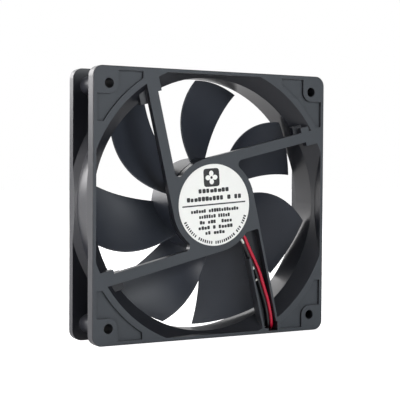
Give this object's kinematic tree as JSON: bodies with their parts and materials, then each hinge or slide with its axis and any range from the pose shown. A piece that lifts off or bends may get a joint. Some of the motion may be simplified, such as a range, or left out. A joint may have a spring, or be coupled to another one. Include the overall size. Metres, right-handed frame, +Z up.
{
  "type": "axial case fan",
  "caption": "Square axial cooling fan in dark grey plastic, with a curved-blade impeller, angled struts, a round label and a pair of leads.",
  "frame": {"origin": "centre of the frame's block, on the rotor's axis", "axes": "+Y along the rotor's axis towards the intake, -Y towards the exhaust face with the struts, +Z up, +X to the right seen from the exhaust side"},
  "size_m": [0.1297, 0.0496, 0.12],
  "materials": {
    "frame_plastic": "satin",
    "impeller_plastic": "satin",
    "label_film": "satin",
    "shaft_steel": "polished",
    "yoke_steel": "satin",
    "core_steel": "matte",
    "brass": "satin",
    "bronze": "matte",
    "magnet": "matte",
    "insulator_nylon": "satin",
    "enamelled_copper": "gloss",
    "board_green": "gloss",
    "chip_black": "matte",
    "capacitor_tan": "matte",
    "solder": "satin",
    "washer_white": "satin",
    "rubber_black": "matte",
    "lead_red_pvc": "gloss",
    "lead_black_pvc": "gloss",
    "plug_nylon": "satin",
    "contact_tin": "satin",
    "adhesive_pale": "satin"
  },
  "bodies": {
    "stator": {"housing_frame": "frame_plastic", "rating_label": "label_film", "bearing_cap": "rubber_black", "bearing_tube": "brass", "sleeve_bearing": "bronze", "thrust_washer": "washer_white", "stator_core": "core_steel", "insulator_front": "insulator_nylon", "insulator_rear": "insulator_nylon", "winding_1": "enamelled_copper", "winding_2": "enamelled_copper", "winding_3": "enamelled_copper", "winding_4": "enamelled_copper", "circuit_board": "board_green", "driver_chip": "chip_black", "filter_capacitor": "capacitor_tan", "protection_diode": "chip_black", "board_resistors": "chip_black", "winding_pins": "contact_tin", "lead_solder_joints": "solder", "lead_red": "lead_red_pvc", "lead_black": "lead_black_pvc", "lead_red_tail": "lead_red_pvc", "lead_black_tail": "lead_black_pvc", "lead_coil": "lead_black_pvc", "coil_tie": "rubber_black", "connector_housing": "plug_nylon", "connector_contacts": "contact_tin", "adhesive_dabs": "adhesive_pale"},
    "rotor": {"impeller": "impeller_plastic", "rotor_yoke": "yoke_steel", "ring_magnet": "magnet", "shaft_bushing": "brass", "shaft": "shaft_steel", "slinger_washer": "washer_white", "retaining_clip": "washer_white"}
  },
  "joints": [
    {"name": "impeller_spin", "type": "hinge", "parent": "stator", "child": "rotor", "pos_m": [0, 0, 0], "axis": [0, 1, 0], "continuous": true}
  ]
}
